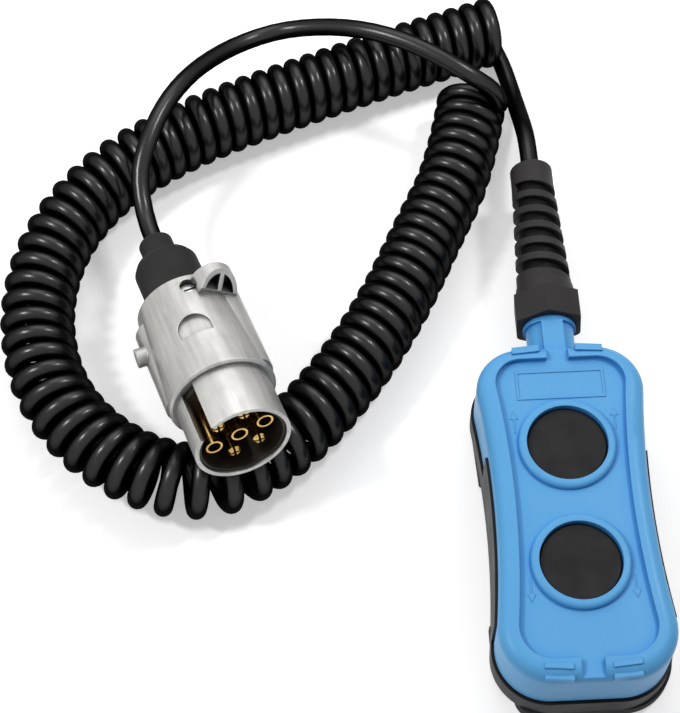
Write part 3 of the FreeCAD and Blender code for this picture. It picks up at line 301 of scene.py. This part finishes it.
# Edges: a normal that rounds them, and a mask of where hands and tables have rubbed them.
# The less the rounded normal agrees with the true one, the more an edge is rubbed.
flat_agreement = 0.98
rubbed_agreement = 0.80
rub_patches = 180.0
soft_edges, given, made = new_effect(
    "soft_edges",
    {"Radius": 0.0004},
    {"Normal": "NodeSocketVector", "Rubbed": "NodeSocketFloat"},
)
rounding = soft_edges.nodes.new("ShaderNodeBevel")
rounding.samples = 4
skin = soft_edges.nodes.new("ShaderNodeNewGeometry")
agree = soft_edges.nodes.new("ShaderNodeVectorMath")
agree.operation = "DOT_PRODUCT"
edge = soft_edges.nodes.new("ShaderNodeMapRange")
edge.inputs["From Min"].default_value = flat_agreement
edge.inputs["From Max"].default_value = rubbed_agreement
place = soft_edges.nodes.new("ShaderNodeTexCoord")
patches = soft_edges.nodes.new("ShaderNodeTexNoise")
patches.inputs["Scale"].default_value = rub_patches
broken = soft_edges.nodes.new("ShaderNodeMath")
broken.operation = "MULTIPLY"
soft_edges.links.new(given.outputs["Radius"], rounding.inputs["Radius"])
soft_edges.links.new(rounding.outputs["Normal"], made.inputs["Normal"])
soft_edges.links.new(rounding.outputs["Normal"], agree.inputs[0])
soft_edges.links.new(skin.outputs["Normal"], agree.inputs[1])
soft_edges.links.new(agree.outputs["Value"], edge.inputs["Value"])
soft_edges.links.new(place.outputs["Object"], patches.inputs["Vector"])
soft_edges.links.new(edge.outputs["Result"], broken.inputs[0])
soft_edges.links.new(patches.outputs["Fac"], broken.inputs[1])
soft_edges.links.new(broken.outputs["Value"], made.inputs["Rubbed"])

# Recess shade: a mask of the grooves and corners where shade falls, found by ambient occlusion. The
# finishes darken their colour by it, as painted shade.
# It is full where less than this share of the surroundings is open.
shut_share = 0.25
recess_shade, given, made = new_effect(
    "recess_shade",
    {"Reach": 0.003, "Open": 0.75},
    {"Shade": "NodeSocketFloat"},
)
hollow = recess_shade.nodes.new("ShaderNodeAmbientOcclusion")
hollow.samples = 8
shut = recess_shade.nodes.new("ShaderNodeMapRange")
shut.inputs["From Max"].default_value = shut_share
recess_shade.links.new(given.outputs["Reach"], hollow.inputs["Distance"])
recess_shade.links.new(given.outputs["Open"], shut.inputs["From Min"])
recess_shade.links.new(hollow.outputs["AO"], shut.inputs["Value"])
recess_shade.links.new(shut.outputs["Result"], made.inputs["Shade"])


def surface(
    name,
    colour,
    clouded,
    rubbed,
    shade_colour,
    gloss,
    dull,
    sheen=0.5,
    grain=2500.0,
    depth=0.00001,
    clouds=60.0,
    round_over=0.0004,
    reach=0.003,
    open_at=0.75,
    metallic=0.0,
):
    """A finish with clouds in its colour and gloss, fine grain, rubbed edges, and painted shade
    darkening its recesses.
    """
    material = bpy.data.materials.new(name)
    material.use_nodes = True
    nodes_of, links = material.node_tree.nodes, material.node_tree.links
    shader = nodes_of["Principled BSDF"]
    shader.inputs["Specular IOR Level"].default_value = sheen
    shader.inputs["Metallic"].default_value = metallic
    texture = nodes_of.new("ShaderNodeGroup")
    texture.node_tree = surface_grain
    texture.inputs["Grain"].default_value = grain
    texture.inputs["Clouds"].default_value = clouds
    edges = nodes_of.new("ShaderNodeGroup")
    edges.node_tree = soft_edges
    edges.inputs["Radius"].default_value = round_over
    body = nodes_of.new("ShaderNodeMix")
    body.data_type = "RGBA"
    body.inputs["A"].default_value = (*colour, 1)
    body.inputs["B"].default_value = (*clouded, 1)
    worn = nodes_of.new("ShaderNodeMix")
    worn.data_type = "RGBA"
    worn.inputs["B"].default_value = (*rubbed, 1)
    slots = nodes_of.new("ShaderNodeGroup")
    slots.node_tree = recess_shade
    slots.name = "recess_shade"
    slots.inputs["Reach"].default_value = reach
    slots.inputs["Open"].default_value = open_at
    # Painted shade: in grooves and corners, as the recess mask finds them, the colour is drawn
    # towards a darker shade colour.
    shaded = nodes_of.new("ShaderNodeMix")
    shaded.data_type = "RGBA"
    shaded.inputs["B"].default_value = (*shade_colour, 1)
    polish = nodes_of.new("ShaderNodeMapRange")
    polish.inputs["To Min"].default_value = gloss
    polish.inputs["To Max"].default_value = dull
    relief = nodes_of.new("ShaderNodeBump")
    relief.inputs["Distance"].default_value = depth
    links.new(texture.outputs["Clouds"], body.inputs["Factor"])
    links.new(body.outputs["Result"], worn.inputs["A"])
    links.new(edges.outputs["Rubbed"], worn.inputs["Factor"])
    links.new(worn.outputs["Result"], shaded.inputs["A"])
    links.new(slots.outputs["Shade"], shaded.inputs["Factor"])
    links.new(shaded.outputs["Result"], shader.inputs["Base Color"])
    links.new(texture.outputs["Clouds"], polish.inputs["Value"])
    links.new(polish.outputs["Result"], shader.inputs["Roughness"])
    links.new(texture.outputs["Grain"], relief.inputs["Height"])
    links.new(edges.outputs["Normal"], relief.inputs["Normal"])
    links.new(relief.outputs["Normal"], shader.inputs["Normal"])
    return material


def coat(material, *names):
    """Puts a finish on nodes of the frame."""
    for name in names:
        for slot in nodes[name].material_slots:
            slot.material = material


sheath = surface(
    "cord_sheath",
    colour=(0.0014, 0.0014, 0.0012),
    clouded=(0.0026, 0.0026, 0.0023),
    rubbed=(0.012, 0.012, 0.012),
    # Painted shade: between the turns the black is darkened further towards this colour.
    shade_colour=(0.0008, 0.0008, 0.0008),
    gloss=0.26,
    dull=0.32,
    grain=900.0,
    depth=0.000001,
    clouds=120.0,
    sheen=0.0,
    reach=0.008,
    open_at=1.0,
)
# Its gloss is a thin skin over the black. It fades between the turns and where it is seen along its
# surface, so the flanks of the turns stay black.
skin_gloss = 0.90
skin_roughness = 0.29
full_glance = 0.10
faint_glance = 0.50
faint_gloss = 0.04
tree = sheath.node_tree
shader = tree.nodes["Principled BSDF"]
shader.inputs["Coat Roughness"].default_value = skin_roughness
shut = tree.nodes.new("ShaderNodeMapRange")
shut.inputs["To Min"].default_value = skin_gloss
shut.inputs["To Max"].default_value = 0.0
glance = tree.nodes.new("ShaderNodeLayerWeight")
fade = tree.nodes.new("ShaderNodeMapRange")
fade.inputs["From Min"].default_value = full_glance
fade.inputs["From Max"].default_value = faint_glance
fade.inputs["To Min"].default_value = 1.0
fade.inputs["To Max"].default_value = faint_gloss
faded = tree.nodes.new("ShaderNodeMath")
faded.operation = "MULTIPLY"
tree.links.new(glance.outputs["Facing"], fade.inputs["Value"])
tree.links.new(fade.outputs["Result"], faded.inputs[0])
tree.links.new(tree.nodes["recess_shade"].outputs["Shade"], shut.inputs["Value"])
tree.links.new(shut.outputs["Result"], faded.inputs[1])
tree.links.new(faded.outputs["Value"], shader.inputs["Coat Weight"])
cord.data.materials.append(sheath)
coat(sheath, "inner_lead", "inner_tail")

# The gland: a moulded nylon nut with a hexagon, whose long tail is cut in a spiral so that it
# bends. It screws onto the neck of the front shell, and presses a rubber seal and a claw ring on
# the cord.
nylon = surface(
    "gland_black",
    colour=(0.034, 0.032, 0.033),
    clouded=(0.028, 0.026, 0.027),
    rubbed=(0.06, 0.058, 0.058),
    shade_colour=(0.004, 0.004, 0.004),
    gloss=0.48,
    dull=0.60,
    grain=1800.0,
    depth=0.000012,
    sheen=0.12,
)
coat(nylon, "gland_nut")

# The turns of its spiral slot look into the hollow guard, where shade falls, so what lies under its
# skin is painted near-black as painted shade.
guard_start = Vector((0, 0.0937, 0.024))
guard_length = 0.0469
guard_start_radius = 0.0105
guard_end_radius = 0.00825
slot_skin = 0.0004
slot_floor = 0.0014
slot_shade = (0.006, 0.0055, 0.006, 1)
tree = nylon.node_tree
shader = tree.nodes["Principled BSDF"]
place = tree.nodes.new("ShaderNodeTexCoord")
centred = tree.nodes.new("ShaderNodeVectorMath")
centred.operation = "SUBTRACT"
centred.inputs[1].default_value = guard_start
parts = tree.nodes.new("ShaderNodeSeparateXYZ")
flat = tree.nodes.new("ShaderNodeCombineXYZ")
off_axis = tree.nodes.new("ShaderNodeVectorMath")
off_axis.operation = "LENGTH"
skin = tree.nodes.new("ShaderNodeMapRange")
skin.inputs["From Max"].default_value = guard_length
skin.inputs["To Min"].default_value = guard_start_radius
skin.inputs["To Max"].default_value = guard_end_radius
under = tree.nodes.new("ShaderNodeMath")
under.operation = "SUBTRACT"
slot = tree.nodes.new("ShaderNodeMapRange")
slot.inputs["From Min"].default_value = slot_skin
slot.inputs["From Max"].default_value = slot_floor
# Painted shade: the slot floors are mixed towards near-black.
black = tree.nodes.new("ShaderNodeMix")
black.data_type = "RGBA"
black.inputs["B"].default_value = slot_shade
tree.links.new(place.outputs["Object"], centred.inputs[0])
tree.links.new(centred.outputs["Vector"], parts.inputs["Vector"])
tree.links.new(parts.outputs["X"], flat.inputs["X"])
tree.links.new(parts.outputs["Z"], flat.inputs["Z"])
tree.links.new(flat.outputs["Vector"], off_axis.inputs[0])
tree.links.new(parts.outputs["Y"], skin.inputs["Value"])
tree.links.new(skin.outputs["Result"], under.inputs[0])
tree.links.new(off_axis.outputs["Value"], under.inputs[1])
tree.links.new(under.outputs["Value"], slot.inputs["Value"])
tree.links.new(slot.outputs["Result"], black.inputs["Factor"])
tree.links.new(shader.inputs["Base Color"].links[0].from_socket, black.inputs["A"])
tree.links.new(black.outputs["Result"], shader.inputs["Base Color"])

# The claw ring: a small white nylon ring with a cone, between the shell's neck and the nut.
# The nut presses it in as it is screwed on, so that it holds the cord fast.
claw_nylon = surface(
    "claw_white",
    colour=(0.62, 0.61, 0.57),
    clouded=(0.56, 0.55, 0.51),
    rubbed=(0.7, 0.69, 0.66),
    shade_colour=(0.30, 0.29, 0.26),
    gloss=0.35,
    dull=0.5,
    sheen=0.4,
)
coat(claw_nylon, "gland_claws")

# The front shell: tough blue plastic, moulded in one piece with its rolled rim, sunk panel, button
# collars, grip bars and threaded neck. Four screws from the back hold it on the cover.
shell_blue = surface(
    "shell_blue",
    colour=(0.104, 0.375, 0.705),
    clouded=(0.098, 0.362, 0.690),
    rubbed=(0.16, 0.44, 0.77),
    # Painted shade: the saturated dark blue that the collars, rim and panel corners darken towards.
    shade_colour=(0.022, 0.210, 0.600),
    gloss=0.34,
    dull=0.42,
    grain=1500.0,
    depth=0.000010,
    clouds=45.0,
    round_over=0.0005,
    sheen=0.18,
    reach=0.006,
    open_at=0.95,
)
coat(shell_blue, "front_shell")

# The field over the buttons: a narrow raised rectangle in the sunk panel, moulded in one piece
# with the shell. The field inside it is left bare.
panel_top = 0.0358
field_middle = Vector((0, 0.0467, panel_top))
field_width = 0.0322
field_height = 0.0117
field_rail = 0.0010
field_rise = 0.0003
field_rounding = 0.00012
bpy.ops.mesh.primitive_plane_add(size=1, location=field_middle)
field = bpy.context.object
field.name = "panel_field_rail"
bpy.ops.object.mode_set(mode="EDIT")
bpy.ops.transform.resize(value=(field_width, field_height, 1), center_override=field_middle)
bpy.ops.mesh.inset(thickness=field_rail)
bpy.ops.mesh.delete(type="FACE")
bpy.ops.mesh.select_all(action="SELECT")
bpy.ops.mesh.extrude_region_move(TRANSFORM_OT_translate={"value": (0, 0, field_rise)})
bpy.ops.mesh.select_all(action="SELECT")
bpy.ops.mesh.normals_make_consistent(inside=False)
bpy.ops.object.mode_set(mode="OBJECT")


def settle(piece, rounding):
    """Rounds a small raised piece, and puts its place into its mesh."""
    bpy.ops.object.select_all(action="DESELECT")
    piece.select_set(True)
    bpy.context.view_layer.objects.active = piece
    bevel = piece.modifiers.new("rounding", "BEVEL")
    bevel.width = rounding
    bevel.segments = 2
    bevel.limit_method = "ANGLE"
    bpy.ops.object.modifier_apply(modifier=bevel.name)
    bpy.ops.object.transform_apply(location=True, rotation=True, scale=True)
    bpy.ops.object.select_all(action="DESELECT")


settle(field, field_rounding)
field.data.materials.append(shell_blue)
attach(field, "housing")

# The arrows: one low arrow each side of a button, up beside the upper and down beside the lower
# one. They are raised in the same mould as the panel.
arrow_stem = 0.0007
arrow_length = 0.0085
arrow_head = 0.0030
arrow_rise = 0.00017
arrow_rounding = 0.00008
arrow_foot = Vector((-0.0180, 0.0262, panel_top))
stem_middle = arrow_foot + Vector((0, arrow_length / 2, 0))
bpy.ops.mesh.primitive_plane_add(size=1, location=stem_middle)
arrow = bpy.context.object
arrow.name = "up_arrow_left"
bpy.ops.object.mode_set(mode="EDIT")
bpy.ops.transform.resize(
    value=(arrow_stem, arrow_length - arrow_head, 1),
    center_override=stem_middle,
)
bpy.ops.object.mode_set(mode="OBJECT")
# The far edge of the stem is drawn out into the head.
for vertex in arrow.data.vertices:
    vertex.select = vertex.co.y > 0
for line in arrow.data.edges:
    line.select = all(arrow.data.vertices[end].select for end in line.vertices)
for face in arrow.data.polygons:
    face.select = False
bpy.ops.object.mode_set(mode="EDIT")
head_low = stem_middle + Vector((0, (arrow_length - arrow_head) / 2, 0))
bpy.ops.mesh.extrude_region_move(TRANSFORM_OT_translate={"value": (0, arrow_stem / 4, 0)})
bpy.ops.transform.resize(value=(arrow_head / arrow_stem, 1, 1), center_override=head_low)
bpy.ops.mesh.extrude_region_move(TRANSFORM_OT_translate={"value": (0, arrow_head, 0)})
bpy.ops.mesh.merge(type="CENTER")
bpy.ops.mesh.select_all(action="SELECT")
bpy.ops.mesh.extrude_region_move(TRANSFORM_OT_translate={"value": (0, 0, arrow_rise)})
bpy.ops.mesh.select_all(action="SELECT")
bpy.ops.mesh.normals_make_consistent(inside=False)
bpy.ops.object.mode_set(mode="OBJECT")
settle(arrow, arrow_rounding)
across_panel = Matrix.Diagonal((-1, 1, 1, 1))
end_for_end = Matrix.Diagonal((1, -1, 1, 1))
arrows = [arrow]
for name, mirror in (
    ("up_arrow_right", across_panel),
    ("down_arrow_left", end_for_end),
    ("down_arrow_right", across_panel @ end_for_end),
):
    other = arrow.copy()
    other.data = arrow.data.copy()
    other.name = name
    other.data.transform(mirror)
    if mirror.determinant() < 0:
        other.data.flip_normals()
    bpy.context.scene.collection.objects.link(other)
    arrows.append(other)
for arrow in arrows:
    arrow.data.materials.append(shell_blue)
    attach(arrow, "housing")

# The seals: a flat ring between the two shells, and a bush in the neck. Both are black rubber,
# pressed thin by the case screws and by the gland nut.
seal_rubber = surface(
    "seal_rubber",
    colour=(0.020, 0.020, 0.020),
    clouded=(0.028, 0.028, 0.027),
    rubbed=(0.04, 0.04, 0.04),
    shade_colour=(0.008, 0.008, 0.008),
    gloss=0.62,
    dull=0.78,
    grain=3000.0,
    depth=0.00002,
    sheen=0.15,
)
coat(seal_rubber, "case_seal", "gland_seal")

# The rear cover: a black moulded tray that closes the case, with a lip that shows round the shell.
# Its two long lips rise where the fingers hold the waist.
cover_black = surface(
    "cover_black",
    colour=(0.013, 0.0125, 0.013),
    clouded=(0.010, 0.0095, 0.010),
    rubbed=(0.035, 0.035, 0.035),
    shade_colour=(0.003, 0.003, 0.003),
    gloss=0.42,
    dull=0.55,
    grain=2200.0,
    depth=0.000012,
    sheen=0.16,
)
coat(cover_black, "rear_cover")

# The back: a thick rubber plate under the cover, which keeps the handset from sliding.
# Its skin is dull and finely pitted, and a little dusty in places.
pad_rubber = surface(
    "pad_rubber",
    colour=(0.036, 0.035, 0.038),
    clouded=(0.044, 0.043, 0.046),
    rubbed=(0.07, 0.07, 0.07),
    shade_colour=(0.010, 0.010, 0.010),
    gloss=0.66,
    dull=0.85,
    grain=1600.0,
    depth=0.00003,
    clouds=90.0,
    sheen=0.1,
)
coat(pad_rubber, "back_pad")

# The button caps: black moulded discs with a flange under the shell that keeps them in.
# Their face is spark-eroded matte, and a little rubbed at its edge by thumbs.
cap_black = surface(
    "cap_black",
    colour=(0.024, 0.0236, 0.0246),
    clouded=(0.019, 0.0187, 0.0197),
    rubbed=(0.050, 0.050, 0.051),
    shade_colour=(0.006, 0.006, 0.008),
    gloss=0.50,
    dull=0.66,
    grain=2600.0,
    depth=0.00002,
    clouds=110.0,
    round_over=0.0003,
    sheen=0.08,
)
coat(cap_black, "up_button_cap", "down_button_cap")

# The plungers: white acetal pins that carry each cap and press its switch.
acetal = surface(
    "plunger_white",
    colour=(0.72, 0.71, 0.67),
    clouded=(0.66, 0.65, 0.61),
    rubbed=(0.78, 0.77, 0.74),
    shade_colour=(0.40, 0.39, 0.36),
    gloss=0.25,
    dull=0.38,
    sheen=0.4,
)
coat(acetal, "up_plunger", "down_plunger")

# The switches: two closed grey moulded blocks on the plate, each with a well for its plunger.
# Their core wires are held under two brass screws each.
switch_body = surface(
    "switch_grey",
    colour=(0.17, 0.18, 0.19),
    clouded=(0.15, 0.16, 0.17),
    rubbed=(0.25, 0.26, 0.27),
    shade_colour=(0.07, 0.075, 0.08),
    gloss=0.45,
    dull=0.58,
    sheen=0.3,
)
coat(switch_body, "up_switch", "down_switch")

# The switch plate and the plug's cable clamp: brown laminated resin, sawn and drilled.
# Its paper layers show as slow clouds.
laminate = surface(
    "plate_resin",
    colour=(0.085, 0.047, 0.018),
    clouded=(0.12, 0.068, 0.028),
    rubbed=(0.19, 0.12, 0.06),
    shade_colour=(0.03, 0.016, 0.006),
    gloss=0.40,
    dull=0.62,
    clouds=140.0,
    sheen=0.3,
)
coat(laminate, "switch_plate", "cable_clamp")

# The steel screws: turned, zinc plated and slightly blue. They hold the case, the plate, the clamp
# and the plug's insert.
zinc = surface(
    "plated_steel",
    colour=(0.42, 0.425, 0.42),
    clouded=(0.34, 0.345, 0.345),
    rubbed=(0.58, 0.58, 0.57),
    shade_colour=(0.16, 0.16, 0.16),
    gloss=0.22,
    dull=0.38,
    grain=4000.0,
    clouds=400.0,
    round_over=0.0001,
    metallic=1.0,
)
coat(zinc, "case_screws", "plate_screws", "clamp_screws", "shell_screw")

# The button springs: wound from bright square steel wire, one round each plunger.
spring_steel = surface(
    "spring_steel",
    colour=(0.52, 0.52, 0.53),
    clouded=(0.42, 0.42, 0.43),
    rubbed=(0.66, 0.66, 0.66),
    shade_colour=(0.14, 0.14, 0.14),
    gloss=0.20,
    dull=0.34,
    clouds=500.0,
    round_over=0.0001,
    metallic=1.0,
)
coat(spring_steel, "up_spring", "down_spring")

# Each spring gets a mesh of its own. In use it shortens by the travel of its button.
for button in ("up", "down"):
    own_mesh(nodes[f"{button}_spring"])

# The plug shell: die-cast alloy, tumbled and satin, in one piece with its barrel, bosses and ear.
# Soft bright and dull streaks run along it, as the light catches the cast skin.
cast_alloy = surface(
    "cast_alloy",
    colour=(0.49, 0.485, 0.47),
    clouded=(0.42, 0.415, 0.40),
    rubbed=(0.74, 0.735, 0.72),
    # Painted shade: the catch notch, ear and joint lines darken towards this grey.
    shade_colour=(0.09, 0.09, 0.095),
    gloss=0.42,
    dull=0.52,
    grain=1400.0,
    depth=0.00002,
    clouds=90.0,
    round_over=0.0005,
    reach=0.008,
    open_at=1.0,
    metallic=1.0,
)
coat(cast_alloy, "plug_shell")

# Its streaks: fine clouds that are drawn out twelve times along the barrel.
streak_length = 12.0
streak_scale = 420.0
streak_low = 0.35
streak_high = 0.65
streak_dark = 0.82
tree = cast_alloy.node_tree
shader = tree.nodes["Principled BSDF"]
place = tree.nodes.new("ShaderNodeTexCoord")
along = tree.nodes.new("ShaderNodeMapping")
along.vector_type = "TEXTURE"
along.inputs["Rotation"].default_value = boot_axis.to_track_quat("Z", "X").to_euler()
along.inputs["Scale"].default_value = (1, 1, streak_length)
streaks = tree.nodes.new("ShaderNodeTexNoise")
streaks.inputs["Scale"].default_value = streak_scale
streaks.inputs["Detail"].default_value = 3.0
drawn = tree.nodes.new("ShaderNodeMapRange")
drawn.inputs["From Min"].default_value = streak_low
drawn.inputs["From Max"].default_value = streak_high
drawn.inputs["To Min"].default_value = streak_dark
drawn.inputs["To Max"].default_value = 1.0
streaked = tree.nodes.new("ShaderNodeVectorMath")
streaked.operation = "SCALE"
tree.links.new(place.outputs["Object"], along.inputs["Vector"])
tree.links.new(along.outputs["Vector"], streaks.inputs["Vector"])
tree.links.new(streaks.outputs["Fac"], drawn.inputs["Value"])
tree.links.new(shader.inputs["Base Color"].links[0].from_socket, streaked.inputs[0])
tree.links.new(drawn.outputs["Result"], streaked.inputs["Scale"])
tree.links.new(streaked.outputs["Vector"], shader.inputs["Base Color"])

# The insert: a dark brown moulded resin disc with a sleeve that lines the barrel.
# It holds the seven contacts, and a screw beside the ear keeps it in.
insert_resin = surface(
    "insert_dark",
    colour=(0.034, 0.029, 0.024),
    clouded=(0.040, 0.031, 0.024),
    rubbed=(0.06, 0.05, 0.04),
    shade_colour=(0.014, 0.011, 0.009),
    gloss=0.28,
    dull=0.42,
    clouds=150.0,
    sheen=0.2,
)
coat(insert_resin, "contact_insert")

# The contacts: three drilled brass tubes and four split brass pins, turned from bar.
# They stand in the insert in a ring of six, with one tube in the middle.
contact_brass = surface(
    "contact_brass",
    colour=(0.66, 0.45, 0.16),
    clouded=(0.52, 0.33, 0.10),
    rubbed=(0.84, 0.66, 0.34),
    shade_colour=(0.40, 0.17, 0.06),
    gloss=0.16,
    dull=0.30,
    grain=3000.0,
    clouds=300.0,
    round_over=0.00015,
    metallic=1.0,
)
coat(contact_brass, "tube_contacts", "split_pins")

# The terminal screws: plain turned brass, two in each switch.
# They hold the core wires, and have dulled with age.
terminal_brass = surface(
    "terminal_brass",
    colour=(0.62, 0.46, 0.20),
    clouded=(0.50, 0.36, 0.15),
    rubbed=(0.78, 0.62, 0.34),
    shade_colour=(0.14, 0.08, 0.02),
    gloss=0.28,
    dull=0.42,
    clouds=400.0,
    round_over=0.0001,
    metallic=1.0,
)
coat(terminal_brass, "terminal_screws")

# The boot: a soft black rubber cap with a narrow neck and a ring, pushed over the plug's tail.
# It keeps water out where the cord goes in.
boot_rubber = surface(
    "boot_rubber",
    colour=(0.029, 0.028, 0.028),
    clouded=(0.023, 0.022, 0.022),
    rubbed=(0.06, 0.06, 0.06),
    shade_colour=(0.008, 0.008, 0.008),
    gloss=0.55,
    dull=0.70,
    grain=1500.0,
    depth=0.00001,
    clouds=80.0,
    round_over=0.0006,
    sheen=0.1,
)
coat(boot_rubber, "plug_boot")
